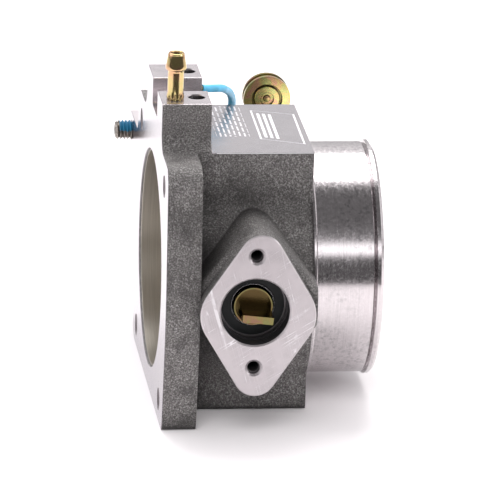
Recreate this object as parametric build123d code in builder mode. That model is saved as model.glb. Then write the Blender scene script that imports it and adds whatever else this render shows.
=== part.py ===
from build123d import *
from math import atan2, cos, pi, radians, sin, sqrt, tan
import os

# Throttle body: a cast and machined housing, one butterfly plate on a shaft in needle bearings, a cable
# lever with its return spring, a sensor drive and two vacuum fittings. Millimetres.
# X runs along the air bore from the engine face to the inlet neck, +Y towards the cable lever, +Z up.
# The origin is on the bore axis, in the engine face.

# ---- air bore, neck and body -------------------------------------------------------------------------
bore_r = 42.5
bore_chamfer = 1.0
neck_r = 45.8
neck_bead_r = 46.5
neck_groove_depth = 0.9
neck_end_x = 87.0
neck_bead_len = 3.2
neck_end_round = 1.2
block_end_x = 59.3
block_near_y = -34.5
block_far_y = 29.0
pad_z = 54.0
block_corner_r = 2.0
floor_z = -52.0
barrel_r = 48.5
barrel_drop = 2.5
barrel_fillet = 6.0
ring_len = 1.3
ring_chamfer = 0.5

# ---- engine flange -----------------------------------------------------------------------------------
flange_t = 13.5
flange_near_y = -57.3
flange_bulge = 5.0
flange_bulge_r = 200.0
flange_far_y = 56.8
flange_corner_r = 8.0
bolt_y = 88.0
bolt_z = 87.0
bolt_hole_r = 4.4
bolt_chamfer = 0.4
ear_y = 88.0
ear_top_z = 34.4
ear_bottom_z = -38.5
ear_corner_r = 7.0

# ---- vacuum bosses on top ----------------------------------------------------------------------------
boss_depth = 19.3
boss_top_z = 72.3
boss_base_z = 46.0
near_boss_y = (-30.0, -12.0)
far_boss_y = (5.5, 24.5)
notch_z = 61.5
boss_root_r = 7.0
tapped_r = 3.3
tapped_depth = 15.0
tapped_mouth_r = 3.6
tapped_x = 14.3
tapped_near_y = -20.0
tapped_far_y = 15.0
barb_x = 5.7
barb_y = -22.5
drill_r = 2.0

# ---- throttle shaft and plate ------------------------------------------------------------------------
shaft_x = 34.1
shaft_r = 5.0
shaft_hole_gap = 0.4
closed_angle = 6.0
open_travel = 84.0
plate_t = 2.2
plate_gap = 0.3
slot_gap = 0.05
plate_screw_y = 22.0
plate_screw_r = 1.95
plate_screw_gap = 0.05
plate_screw_head_r = 3.4
plate_screw_head_t = 1.4
plate_screw_seat = 4.1

# ---- needle bearings and seals -----------------------------------------------------------------------
web_t = 2.0
needle_r = 1.0
needle_gap = 0.03
needle_count = 18
shell_t = 0.94
shell_len = 7.8
shell_lip_t = 0.8
shell_lip_gap = 0.5
part_gap = 0.1
run_gap = 0.04

# ---- sensor flange, seal and drive -------------------------------------------------------------------
sensor_face_y = 67.6
sensor_plate_t = 10.5
sensor_half_w = 25.2
sensor_half_h = 40.0
sensor_side_r = 15.0
sensor_tip_r = 8.3
sensor_turn = 1.3
sensor_shift_x = 1.2
sensor_shift_z = -1.5
sensor_hole_z = 22.6
sensor_hole_r = 2.5
sensor_hole_depth = 14.0
sensor_mouth_r = 3.45
sensor_rim = 0.4
column_draft = 1.0
pad_face_y = 60.3
pad_half_w = 31.5
pad_top_h = 36.0
pad_bottom_h = 30.0
pad_corner_r = 13.0
pad_tip_r = 9.0
pad_draft = 3.0
pad_round = 3.0
pad_root_y = 20.0
recess_r = 13.4
recess_depth = 7.2
recess_step_r = 12.8
near_seal_r = 12.3
near_seal_t = 5.2
near_seal_neck_r = 7.9
garter_ring_r = 8.3
garter_wire_r = 0.45
far_garter_r = 6.7
cup_r = 7.5
cup_bore_r = 6.9
cup_floor_t = 0.6
cup_end_y = 60.2
cup_hollow = 5.2
tongue_w = 12.0
tongue_t = 2.9
tongue_end_y = 67.1
tongue_shift = 1.5
tongue_drop = 3.1

# ---- far boss, spring and lever ----------------------------------------------------------------------
far_boss_r = 18.0
far_boss_end_y = 61.0
far_seal_t = 4.0
bush_spigot = 4.0
bush_flange_r = 16.8
bush_flange_t = 1.6
bush_r = 10.6
bush_gap = 0.3
bush_wall = 1.6
spring_r = 12.7
wire_r = 0.9
spring_pitch = 2.05
spring_turns = 6.0
spring_leg = 4.0
spring_leg_past = 0.8
spring_bend_r = 1.8
leg_hole_gap = 0.3
lever_y = 79.5
lever_t = 3.0
lever_edge = 0.3
lever_hub_r = 16.2
lever_tang_r = 4.0
lever_tang_flat = 3.1
lever_arm_r = 6.8
lever_waist_r = 7.5
lever_waist_at = (18.5, 20.0)
stop_gap = 0.3
stop_tip_r = 4.5
washer_r = 7.0
washer_t = 1.6
nut_af = 13.0
nut_t = 6.5
thread_past_nut = 1.4

# ---- cable roller ------------------------------------------------------------------------------------
roller_dx = 20.0
roller_dz = 42.6
roller_r = 9.6
roller_t = 5.9
roller_groove_r = 7.0
roller_rim = 1.5
roller_dish_r = 6.3
roller_dish = 1.7
roller_gap = 0.3
rivet_r = 3.4
rivet_gap = 0.05
rivet_head_r = 5.3
rivet_head_t = 1.2
rivet_hollow_r = 2.9
rivet_knob_r = 1.2
rivet_tail_r = 5.0
rivet_tail_t = 1.4

# ---- closed stop screw -------------------------------------------------------------------------------
stop_y = 81.1
stop_z = 27.5
stop_r = 3.97
stop_out = 6.9
stop_in = 4.8
stop_chamfer = 0.9
stop_socket_af = 3.97
stop_socket = 4.0

# ---- vacuum fittings and hose ------------------------------------------------------------------------
barb_h = 18.8
barb_foot = 6.0
barb_tube_r = 3.15
barb_ridge_r = 4.1
barb_tip_r = 3.1
barb_bore_r = 2.2
barb_collar_r = 3.5
barb_collar_h = 2.6
barb_cone_h = 6.9
hose_r = 1.6
hose_bore_r = 1.0
hose_z = 65.0
port_y = 43.0
port_x = 35.7
port_r = 6.5
port_top_z = 29.0
nipple_collar_r = 2.2
nipple_collar_t = 1.2
nipple_foot = 5.0
nipple_len = 6.0
boss_stem = 1.5
boss_collar_r = 1.7
boss_collar_t = 0.6
nipple_short_len = 2.3
nipple_elbow = 1.0
hose_leaves = (4.6, 1.7, -0.5)
hose_first_run = 5.2
nipple_bore_r = 0.5

# ---- etched pad --------------------------------------------------------------------------------------
etch_depth = 0.25
etch_line = 0.8
label_corners = [(40.5, 21.6), (57.6, 16.2), (57.2, -23.6), (40.2, -16.6)]
label_bars = 3
label_bar_w = 0.07
label_bar_step = 0.13

# ---- derived places ----------------------------------------------------------------------------------
shaft_axis = Axis((shaft_x, 0, 0), (0, 1, 0))
shaft_section = Plane(origin=(shaft_x, 0, 0), x_dir=(0, 1, 0), z_dir=(1, 0, 0))
closed = radians(closed_angle)
plate_plane = Plane(origin=(shaft_x, 0, 0), x_dir=(0, 1, 0), z_dir=(cos(closed), 0, -sin(closed)))
needle_pitch_r = shaft_r + needle_gap + needle_r
shell_bore_r = needle_pitch_r + needle_r + needle_gap
pocket_r = shell_bore_r + shell_t
pocket_y = bore_r + web_t
shell_y = pocket_y + part_gap
far_seal_y = shell_y + shell_len + part_gap
near_seal_y = far_seal_y
near_seal_face_y = near_seal_y + near_seal_t
recess_step_y = sensor_face_y - recess_depth
shaft_near_y = cup_end_y - cup_hollow
roller_back_y = lever_y - roller_gap
roller_front_y = roller_back_y - roller_t
rivet_head_y = roller_front_y + roller_dish - roller_gap - rivet_head_t
lever_back_y = lever_y + lever_t
nut_y = lever_back_y + washer_t
shaft_end_y = nut_y + nut_t + thread_past_nut
spring_start_y = far_boss_end_y + bush_flange_t + wire_r + part_gap
spring_len = spring_pitch * spring_turns
spring_end_y = spring_start_y + spring_len
spring_rise = atan2(spring_pitch, 2 * pi * spring_r)
bend_across = spring_bend_r * (1 - sin(spring_rise))
bend_along = spring_bend_r * cos(spring_rise)
ring_end_x = block_end_x + ring_len

os.makedirs("parts", exist_ok=True)


def facing_near(y):
    """The plane across the shaft at y, seen from the sensor side: local X is X and local Y is Z."""
    return Plane.XZ.offset(-y)


def shell_points(side):
    """A drawn bearing shell with a lip at each end. side is -1 on the sensor side and +1 on the lever side."""
    lip_r = shaft_r + shell_lip_gap
    y_in, y_out = shell_y, shell_y + shell_len
    outline = [
        (y_in, lip_r), (y_in + shell_lip_t, lip_r), (y_in + shell_lip_t, shell_bore_r),
        (y_out - shell_lip_t, shell_bore_r), (y_out - shell_lip_t, lip_r), (y_out, lip_r),
        (y_out, pocket_r), (y_in, pocket_r),
    ]
    return [(side * y, r) for y, r in outline]


def sensor_plane(y):
    """The plane across the sensor flange's own middle and turn, seen from the sensor side."""
    turn = radians(sensor_turn)
    middle = (shaft_x + sensor_shift_x, y, sensor_shift_z)
    return Plane(origin=middle, x_dir=(cos(turn), 0, -sin(turn)), z_dir=(0, -1, 0))


def diamond_face(side_w, top_h, bottom_h, side_r, tip_r):
    """A diamond with rounded corners about the sensor flange's own middle."""
    with BuildSketch(mode=Mode.PRIVATE) as face:
        with BuildLine():
            FilletPolyline(
                (side_w, 0), (0, top_h), (-side_w, 0), (0, -bottom_h), close=True,
                radius=[side_r, tip_r, side_r, tip_r],
            )
        make_face()
    return face.sketch_local


def on_label(across, along):
    """A point of the slanted frame: across from its first long side, along from its first end."""
    (ax, ay), (bx, by), (cx, cy), (dx, dy) = label_corners
    top_x, top_y = ax + across * (bx - ax), ay + across * (by - ay)
    foot_x, foot_y = dx + across * (cx - dx), dy + across * (cy - dy)
    return (top_x + along * (foot_x - top_x), top_y + along * (foot_y - top_y))


# ---- housing -----------------------------------------------------------------------------------------
middle_z = (pad_z + floor_z) / 2
flange_points = [
    (flange_near_y, floor_z, 3.0),
    (flange_near_y - flange_bulge, -5.0, flange_bulge_r),
    (flange_near_y, pad_z, flange_corner_r),
    (near_boss_y[0], pad_z, boss_root_r),
    (near_boss_y[0], boss_top_z, 0.4),
    (near_boss_y[1], boss_top_z, 0.4),
    (near_boss_y[1], notch_z, 1.5),
    (far_boss_y[0], notch_z, 1.5),
    (far_boss_y[0], boss_top_z, 0.4),
    (far_boss_y[1], boss_top_z, 0.4),
    (far_boss_y[1] + 1.5, pad_z, boss_root_r + 2),
    (flange_far_y, pad_z, flange_corner_r),
    (flange_far_y, ear_top_z, 5.0),
    (ear_y, ear_top_z, 3.0),
    (ear_y, ear_bottom_z, ear_corner_r),
    (flange_far_y, ear_bottom_z, 4.0),
    (flange_far_y, floor_z, flange_corner_r),
]

flange_diamond = diamond_face(sensor_half_w, sensor_half_h, sensor_half_h, sensor_side_r, sensor_tip_r)
pad_diamond = diamond_face(pad_half_w, pad_top_h, pad_bottom_h, pad_corner_r, pad_tip_r)

with BuildPart() as sensor_pad:
    # A wide, low swelling behind the sensor flange, with a rounded edge.
    with BuildSketch(sensor_plane(-pad_face_y)):
        add(pad_diamond)
    extrude(amount=-(pad_face_y - pad_root_y), taper=-pad_draft)
    fillet(sensor_pad.faces().sort_by(Axis.Y)[0].edges(), pad_round)
    # The neck is turned right up to the block's end, which trims the swelling there.
    with BuildSketch(Plane.YZ.offset(block_end_x)):
        Rectangle(4 * bore_r, 4 * bore_r)
    extrude(amount=bore_r, mode=Mode.SUBTRACT)

with BuildPart() as throttle_housing:
    # Engine flange with its ear, and the foot of the two vacuum bosses.
    with BuildSketch(Plane.YZ) as flange_profile:
        with BuildLine():
            FilletPolyline(
                *[(y, z) for y, z, _ in flange_points], radius=[r for _, _, r in flange_points], close=True
            )
        make_face()
    extrude(amount=flange_t)
    # The bosses stand a little deeper than the flange, with the same outline.
    for boss_from_y, boss_to_y in ((block_near_y, near_boss_y[1]), (far_boss_y[0], block_far_y)):
        with BuildSketch(Plane.YZ):
            add(flange_profile.sketch_local)
            with Locations(((boss_from_y + boss_to_y) / 2, boss_top_z)):
                Rectangle(boss_to_y - boss_from_y, 2 * (boss_top_z - boss_base_z), mode=Mode.INTERSECT)
        extrude(amount=boss_depth)
    # Body section: a square block with the round barrel showing on both sides.
    with BuildSketch(Plane.YZ.offset(flange_t - 1.0)) as body_section:
        with Locations(((block_near_y + block_far_y) / 2, middle_z)):
            Rectangle(block_far_y - block_near_y, pad_z - floor_z)
        with Locations((0, -barrel_drop)):
            Circle(barrel_r)
        crossings = [v for v in body_section.vertices() if floor_z + 1 < v.Y < pad_z - 1]
        fillet(crossings, barrel_fillet)
        fillet(body_section.vertices().sort_by(Axis.Y)[:2], block_corner_r)
    extrude(amount=block_end_x - flange_t + 1.0)
    # Sensor flange, lever boss and hose port boss.
    add(sensor_pad.part)
    with BuildSketch(sensor_plane(-sensor_face_y)):
        add(flange_diamond)
    extrude(amount=-sensor_plate_t)
    chamfer(throttle_housing.faces().sort_by(Axis.Y)[0].outer_wire().edges(), sensor_rim)
    with BuildSketch(sensor_plane(-sensor_face_y + sensor_plate_t)):
        add(flange_diamond)
    extrude(amount=-(sensor_face_y - sensor_plate_t - pad_root_y), taper=-column_draft)
    with BuildSketch(facing_near(far_boss_end_y)):
        with Locations((shaft_x, 0)):
            Circle(far_boss_r)
    extrude(amount=far_boss_end_y - bore_r + 4.0, taper=-2.0)
    with BuildSketch(Plane.XY.offset(port_top_z)):
        with Locations((port_x, port_y)):
            Circle(port_r)
    extrude(amount=-port_top_z)
    # Turned ring and neck.
    with BuildSketch(Plane.XZ):
        with BuildLine():
            Polyline(
                (block_end_x, bore_r - 3.0), (block_end_x, barrel_r),
                (ring_end_x - ring_chamfer, barrel_r), (ring_end_x, barrel_r - ring_chamfer),
                (ring_end_x, neck_r), (neck_end_x - neck_bead_len - 0.8, neck_r),
                (neck_end_x - neck_bead_len, neck_r - neck_groove_depth),
                (neck_end_x - neck_bead_len + 0.6, neck_bead_r),
                (neck_end_x - neck_end_round, neck_bead_r), (neck_end_x, neck_bead_r - neck_end_round),
                (neck_end_x, bore_r - 3.0), close=True,
            )
        make_face()
    revolve(axis=Axis.X)
    # Air bore, with a chamfer at each mouth.
    with BuildSketch(Plane.XZ):
        Polygon(
            (-1.0, 0), (-1.0, bore_r + bore_chamfer), (0, bore_r + bore_chamfer), (bore_chamfer, bore_r),
            (neck_end_x - bore_chamfer, bore_r), (neck_end_x, bore_r + bore_chamfer),
            (neck_end_x + 1.0, bore_r + bore_chamfer), (neck_end_x + 1.0, 0), align=None,
        )
    revolve(axis=Axis.X, mode=Mode.SUBTRACT)
    # Shaft tunnel, bearing pockets, seal pocket and sensor recess, all turned about the shaft axis.
    with BuildSketch(shaft_section):
        Polygon(
            (-sensor_face_y - 1, 0), (-sensor_face_y - 1, recess_r + 0.6), (-sensor_face_y, recess_r + 0.6),
            (-sensor_face_y + 0.6, recess_r), (-recess_step_y, recess_r), (-recess_step_y, recess_step_r),
            (-near_seal_face_y - part_gap, recess_step_r), (-near_seal_face_y - part_gap, near_seal_r),
            (-near_seal_y + part_gap, near_seal_r), (-near_seal_y + part_gap, pocket_r),
            (-pocket_y, pocket_r), (-pocket_y, shaft_r + shaft_hole_gap),
            (pocket_y, shaft_r + shaft_hole_gap), (pocket_y, pocket_r),
            (far_boss_end_y + 1, pocket_r), (far_boss_end_y + 1, 0), align=None,
        )
    revolve(axis=shaft_axis, mode=Mode.SUBTRACT)
    # Engine bolt holes.
    with BuildSketch(Plane.YZ):
        with GridLocations(bolt_y, bolt_z, 2, 2):
            Circle(bolt_hole_r)
    extrude(amount=flange_t + 8.0, mode=Mode.SUBTRACT)
    # Tapped bracket holes and the barb's hole on top, each with a countersunk mouth.
    with BuildSketch(Plane.XY.offset(boss_top_z)):
        with Locations((tapped_x, tapped_near_y), (tapped_x, tapped_far_y)):
            Circle(tapped_r)
    extrude(amount=-tapped_depth, mode=Mode.SUBTRACT)
    with BuildSketch(Plane.XY.offset(boss_top_z)):
        with Locations((tapped_x, tapped_near_y), (tapped_x, tapped_far_y)):
            Circle(tapped_mouth_r)
    extrude(amount=-(tapped_mouth_r - tapped_r), taper=45, mode=Mode.SUBTRACT)
    with BuildSketch(Plane.XY.offset(boss_top_z)):
        with Locations((barb_x, barb_y)):
            Circle(barb_tube_r)
    extrude(amount=-barb_foot, mode=Mode.SUBTRACT)
    # Drilled passages: the barb's and the far tapped hole's down into the bore, and the hose's two ports.
    with BuildSketch(Plane.XY):
        with Locations((barb_x, barb_y), (tapped_x, tapped_far_y)):
            Circle(drill_r)
    extrude(amount=boss_top_z - barb_foot, mode=Mode.SUBTRACT)
    with BuildSketch(Plane.YZ.offset(boss_depth)):
        with Locations((tapped_far_y, hose_z)):
            Circle(hose_bore_r + 0.6)
    extrude(amount=-(boss_depth - tapped_x), mode=Mode.SUBTRACT)
    with BuildSketch(Plane.XY.offset(port_top_z)):
        with Locations((port_x, port_y)):
            Circle(hose_bore_r + 0.6)
    extrude(amount=-(nipple_foot + 3.0), mode=Mode.SUBTRACT)
    # Tapped sensor screw holes with countersunk mouths.
    with BuildSketch(facing_near(-sensor_face_y)):
        with Locations((shaft_x, sensor_hole_z), (shaft_x, -sensor_hole_z)):
            Circle(sensor_hole_r)
    extrude(amount=-sensor_hole_depth, mode=Mode.SUBTRACT)
    with BuildSketch(facing_near(-sensor_face_y)):
        with Locations((shaft_x, sensor_hole_z), (shaft_x, -sensor_hole_z)):
            Circle(sensor_mouth_r)
    extrude(amount=-(sensor_mouth_r - sensor_hole_r), taper=45, mode=Mode.SUBTRACT)
    # Stop screw's tapped hole, and the hole for the spring's fixed leg in the lever boss.
    with BuildSketch(Plane.YZ):
        with Locations((stop_y, stop_z)):
            Circle(stop_r)
    extrude(amount=flange_t, mode=Mode.SUBTRACT)
    with BuildSketch(facing_near(far_boss_end_y)):
        with Locations((shaft_x + spring_r, bend_across)):
            Circle(wire_r + leg_hole_gap)
    extrude(amount=spring_leg + 2.0, mode=Mode.SUBTRACT)
    # Etched mark on the pad: a plain slanted frame with three bars along one side.
    with BuildSketch(Plane.XY.offset(pad_z)):
        Polygon(*label_corners, align=None)
        offset(amount=-etch_line, mode=Mode.SUBTRACT)
        for bar in range(label_bars):
            bar_from = 0.12 + bar * label_bar_step
            bar_to = bar_from + label_bar_w
            Polygon(
                on_label(bar_from, 0.08), on_label(bar_to, 0.08),
                on_label(bar_to, 0.92), on_label(bar_from, 0.92), align=None,
            )
    extrude(amount=-etch_depth, mode=Mode.SUBTRACT)

throttle_housing.part.label = "throttle_housing"
export_step(throttle_housing.part, "parts/throttle_housing.step")


# ---- throttle shaft, plate and plate screws ----------------------------------------------------------
with BuildPart() as throttle_shaft:
    with BuildSketch(shaft_section):
        Polygon(
            (-shaft_near_y, 0), (-shaft_near_y, shaft_r - 0.4), (-shaft_near_y + 0.4, shaft_r),
            (lever_y - part_gap, shaft_r), (lever_y - part_gap, lever_tang_r),
            (shaft_end_y - 0.8, lever_tang_r), (shaft_end_y, lever_tang_r - 0.8), (shaft_end_y, 0), align=None,
        )
    revolve(axis=shaft_axis)
    # Slot for the plate, right through the shaft.
    with BuildSketch(plate_plane):
        Rectangle(2 * (bore_r - part_gap), 4 * shaft_r)
    extrude(amount=plate_t / 2 + slot_gap, both=True, mode=Mode.SUBTRACT)
    # Screw holes, with a flat seat under each head.
    with BuildSketch(plate_plane):
        with Locations((-plate_screw_y, 0), (plate_screw_y, 0)):
            Circle(plate_screw_r + plate_screw_gap)
    extrude(amount=2 * shaft_r, both=True, mode=Mode.SUBTRACT)
    with BuildSketch(plate_plane.offset(plate_screw_seat)):
        with Locations((-plate_screw_y, 0), (plate_screw_y, 0)):
            Circle(plate_screw_head_r + 0.4)
    extrude(amount=shaft_r, mode=Mode.SUBTRACT)
    # Two flats from the lever's seat to the end of the thread.
    with BuildSketch(facing_near(lever_y - part_gap)):
        with Locations((shaft_x + lever_tang_flat + shaft_r, 0), (shaft_x - lever_tang_flat - shaft_r, 0)):
            Rectangle(2 * shaft_r, 4 * shaft_r)
    extrude(amount=-(shaft_end_y - lever_y + part_gap), mode=Mode.SUBTRACT)
throttle_shaft.part.label = "throttle_shaft"
export_step(throttle_shaft.part, "parts/throttle_shaft.step")

with BuildPart() as throttle_plate:
    with BuildSketch(plate_plane):
        Rectangle(4 * bore_r, 4 * bore_r)
    extrude(amount=plate_t / 2, both=True)
    # The edge is bevelled to lie along the bore wall when shut.
    with BuildSketch(Plane.YZ):
        Circle(bore_r - plate_gap)
    extrude(amount=2 * shaft_x, mode=Mode.INTERSECT)
    with BuildSketch(plate_plane):
        with Locations((-plate_screw_y, 0), (plate_screw_y, 0)):
            Circle(plate_screw_r + plate_screw_gap)
    extrude(amount=plate_t, both=True, mode=Mode.SUBTRACT)
throttle_plate.part.label = "throttle_plate"
export_step(throttle_plate.part, "parts/throttle_plate.step")

with BuildPart() as plate_screws:
    screw_tip = sqrt(shaft_r**2 - plate_screw_r**2) - 0.2
    with BuildSketch(plate_plane.offset(-screw_tip)):
        with Locations((-plate_screw_y, 0), (plate_screw_y, 0)):
            Circle(plate_screw_r)
    extrude(amount=screw_tip + plate_screw_seat)
    with BuildSketch(plate_plane.offset(plate_screw_seat)):
        with Locations((-plate_screw_y, 0), (plate_screw_y, 0)):
            Circle(plate_screw_head_r)
    extrude(amount=plate_screw_head_t)
    fillet(plate_screws.edges().filter_by(GeomType.CIRCLE).group_by(Axis.X)[-1], 0.5)
    # Driver slot across each head.
    with BuildSketch(plate_plane.offset(plate_screw_seat + plate_screw_head_t)):
        with Locations((-plate_screw_y, 0), (plate_screw_y, 0)):
            Rectangle(2 * plate_screw_head_r, 0.9)
    extrude(amount=-0.8, mode=Mode.SUBTRACT)
plate_screws.part.label = "plate_screws"
export_step(plate_screws.part, "parts/plate_screws.step")

# ---- needle bearings ---------------------------------------------------------------------------------
with BuildPart() as near_bearing_shell:
    with BuildSketch(shaft_section):
        Polygon(*shell_points(-1), align=None)
    revolve(axis=shaft_axis)
near_bearing_shell.part.label = "near_bearing_shell"
export_step(near_bearing_shell.part, "parts/near_bearing_shell.step")

with BuildPart() as far_bearing_shell:
    with BuildSketch(shaft_section):
        Polygon(*shell_points(1), align=None)
    revolve(axis=shaft_axis)
far_bearing_shell.part.label = "far_bearing_shell"
export_step(far_bearing_shell.part, "parts/far_bearing_shell.step")

needle_len = shell_len - 2 * (shell_lip_t + part_gap)
needle_start_y = shell_y + shell_lip_t + part_gap

with BuildPart() as near_bearing_needles:
    with BuildSketch(facing_near(-needle_start_y)):
        with Locations((shaft_x, 0)):
            with PolarLocations(needle_pitch_r, needle_count):
                Circle(needle_r)
    extrude(amount=needle_len)
near_bearing_needles.part.label = "near_bearing_needles"
export_step(near_bearing_needles.part, "parts/near_bearing_needles.step")

with BuildPart() as far_bearing_needles:
    with BuildSketch(facing_near(needle_start_y)):
        with Locations((shaft_x, 0)):
            with PolarLocations(needle_pitch_r, needle_count):
                Circle(needle_r)
    extrude(amount=-needle_len)
far_bearing_needles.part.label = "far_bearing_needles"
export_step(far_bearing_needles.part, "parts/far_bearing_needles.step")

# ---- seals -------------------------------------------------------------------------------------------
near_seal_back_y = near_seal_y + 2 * part_gap
lip_y = near_seal_face_y - 2.0

with BuildPart() as near_seal:
    with BuildSketch(shaft_section):
        Polygon(
            (-near_seal_face_y, near_seal_neck_r), (-near_seal_face_y, near_seal_r),
            (-near_seal_back_y, near_seal_r), (-near_seal_back_y, cup_r + 2.2),
            (-lip_y + 0.6, cup_r + 2.2), (-lip_y + 0.6, cup_r + run_gap),
            (-lip_y - 0.6, cup_r + run_gap), align=None,
        )
    revolve(axis=shaft_axis)
    # Groove that seats the garter spring in the face.
    with BuildSketch(shaft_section):
        with Locations((-near_seal_face_y, garter_ring_r)):
            Circle(garter_wire_r)
    revolve(axis=shaft_axis, mode=Mode.SUBTRACT)
near_seal.part.label = "near_seal"
export_step(near_seal.part, "parts/near_seal.step")

with BuildPart() as near_seal_garter:
    with BuildSketch(shaft_section):
        with Locations((-near_seal_face_y, garter_ring_r)):
            Circle(garter_wire_r)
    revolve(axis=shaft_axis)
near_seal_garter.part.label = "near_seal_garter"
export_step(near_seal_garter.part, "parts/near_seal_garter.step")

far_seal_end_y = far_seal_y + far_seal_t
with BuildPart() as far_seal:
    with BuildSketch(shaft_section):
        Polygon(
            (far_seal_y, pocket_r), (far_seal_y, shaft_r + 1.2), (far_seal_end_y - 1.6, shaft_r + 1.2),
            (far_seal_end_y - 1.6, shaft_r + run_gap), (far_seal_end_y - 0.8, shaft_r + run_gap),
            (far_seal_end_y, shaft_r + 0.8), (far_seal_end_y, pocket_r), align=None,
        )
    revolve(axis=shaft_axis)
    with BuildSketch(shaft_section):
        with Locations((far_seal_end_y, far_garter_r)):
            Circle(garter_wire_r)
    revolve(axis=shaft_axis, mode=Mode.SUBTRACT)
far_seal.part.label = "far_seal"
export_step(far_seal.part, "parts/far_seal.step")

with BuildPart() as far_seal_garter:
    with BuildSketch(shaft_section):
        with Locations((far_seal_end_y, far_garter_r)):
            Circle(garter_wire_r)
    revolve(axis=shaft_axis)
far_seal_garter.part.label = "far_seal_garter"
export_step(far_seal_garter.part, "parts/far_seal_garter.step")

# ---- sensor drive: a cup pressed on the shaft, with one flat tongue ----------------------------------
cup_floor_y = shaft_near_y + cup_floor_t
with BuildPart() as sensor_drive:
    with BuildSketch(shaft_section):
        Polygon(
            (-near_seal_y - 4 * part_gap, shaft_r), (-near_seal_y - 4 * part_gap, cup_r),
            (-cup_end_y, cup_r), (-cup_end_y, cup_bore_r), (-cup_floor_y, cup_bore_r), (-cup_floor_y, 0),
            (-shaft_near_y, 0), (-shaft_near_y, shaft_r), align=None,
        )
    revolve(axis=shaft_axis)
    tongue_plane = Plane(
        origin=(shaft_x, -tongue_end_y, 0), x_dir=(cos(closed), 0, -sin(closed)), z_dir=(0, 1, 0)
    )
    with BuildSketch(tongue_plane):
        with Locations((tongue_shift, tongue_drop)):
            Rectangle(tongue_w, tongue_t)
    extrude(amount=tongue_end_y - cup_end_y)
    with BuildSketch(tongue_plane.offset(tongue_end_y - cup_end_y)):
        with Locations((tongue_shift, tongue_drop)):
            Rectangle(tongue_w, tongue_t)
        Circle(cup_r, mode=Mode.INTERSECT)
    extrude(amount=cup_end_y - cup_floor_y)
sensor_drive.part.label = "sensor_drive"
export_step(sensor_drive.part, "parts/sensor_drive.step")

# ---- vacuum barb, nipples and hose -------------------------------------------------------------------
with BuildPart() as vacuum_barb:
    barb_section = Plane(origin=(barb_x, barb_y, boss_top_z), x_dir=(1, 0, 0), z_dir=(0, -1, 0))
    with BuildSketch(barb_section):
        Polygon(
            (barb_bore_r, -barb_foot + part_gap), (barb_tube_r, -barb_foot + part_gap), (barb_tube_r, 0),
            (barb_collar_r, 0), (barb_collar_r, barb_collar_h * 0.6), (barb_tube_r, barb_collar_h),
            (barb_tube_r, barb_h - barb_cone_h), (barb_ridge_r, barb_h - barb_cone_h + 0.5),
            (barb_ridge_r, barb_h - barb_cone_h + 1.6), (barb_tip_r, barb_h), (barb_bore_r, barb_h),
            align=None,
        )
    revolve(axis=Axis((barb_x, barb_y, 0), (0, 0, 1)))
vacuum_barb.part.label = "vacuum_barb"
export_step(vacuum_barb.part, "parts/vacuum_barb.step")

nipple_outline = [
    (nipple_bore_r, -nipple_foot), (hose_bore_r + 0.6, -nipple_foot), (hose_bore_r + 0.6, 0),
    (nipple_collar_r, 0), (nipple_collar_r, nipple_collar_t), (hose_bore_r, nipple_collar_t),
    (hose_bore_r, nipple_collar_t + nipple_len), (nipple_bore_r, nipple_collar_t + nipple_len),
]

nipple_mouth = Vector(boss_depth + boss_collar_t / 2, tapped_far_y, hose_z)
hose_out = Vector(hose_leaves).normalized()
nipple_plane = Plane(origin=nipple_mouth, z_dir=hose_out)
nipple_reach = nipple_elbow + nipple_short_len

with BuildPart() as boss_nipple:
    # A straight stem with a collar, and a short tube leaning the way the hose leaves.
    with BuildSketch(Plane.YZ.offset(boss_depth - boss_stem)):
        with Locations((tapped_far_y, hose_z)):
            Circle(hose_bore_r + 0.6)
    extrude(amount=boss_stem)
    with BuildSketch(Plane.YZ.offset(boss_depth)):
        with Locations((tapped_far_y, hose_z)):
            Circle(boss_collar_r)
    extrude(amount=boss_collar_t)
    with BuildSketch(nipple_plane):
        Circle(hose_bore_r)
    extrude(amount=nipple_reach)
    with BuildSketch(nipple_plane):
        Circle(nipple_bore_r)
    extrude(amount=nipple_reach, mode=Mode.SUBTRACT)
    with BuildSketch(Plane.YZ.offset(boss_depth - boss_stem)):
        with Locations((tapped_far_y, hose_z)):
            Circle(nipple_bore_r)
    extrude(amount=boss_stem + boss_collar_t / 2 + nipple_bore_r, mode=Mode.SUBTRACT)
boss_nipple.part.label = "boss_nipple"
export_step(boss_nipple.part, "parts/boss_nipple.step")

with BuildPart() as body_nipple:
    with BuildSketch(Plane(origin=(port_x, port_y, port_top_z), x_dir=(1, 0, 0), z_dir=(0, -1, 0))):
        Polygon(*nipple_outline, align=None)
    revolve(axis=Axis((port_x, port_y, 0), (0, 0, 1)))
body_nipple.part.label = "body_nipple"
export_step(body_nipple.part, "parts/body_nipple.step")

hose_start = nipple_mouth + hose_out * nipple_elbow
hose_first_bend = hose_start + hose_out * hose_first_run
hose_end = Vector(port_x, port_y, port_top_z + nipple_collar_t)
hose_route = [
    hose_start, hose_first_bend, Vector(29.3, 21.4, 63.2), Vector(33.4, 30.5, 58.9),
    Vector(35.6, 38.9, 53.0), Vector(port_x, port_y, 46.0), hose_end,
]


def bend_radii(route):
    """The largest tangent arc at each inner point that leaves a tenth of its shorter run straight."""
    radii = []
    for before, here, after in zip(route, route[1:], route[2:]):
        run_in, run_out = here - before, after - here
        half_turn = radians(run_in.get_angle(run_out)) / 2
        radii.append(0.45 * min(run_in.length, run_out.length) / tan(half_turn))
    return radii


hose_radii = bend_radii(hose_route)
print("hose bend radii", [round(r, 1) for r in hose_radii])

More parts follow.
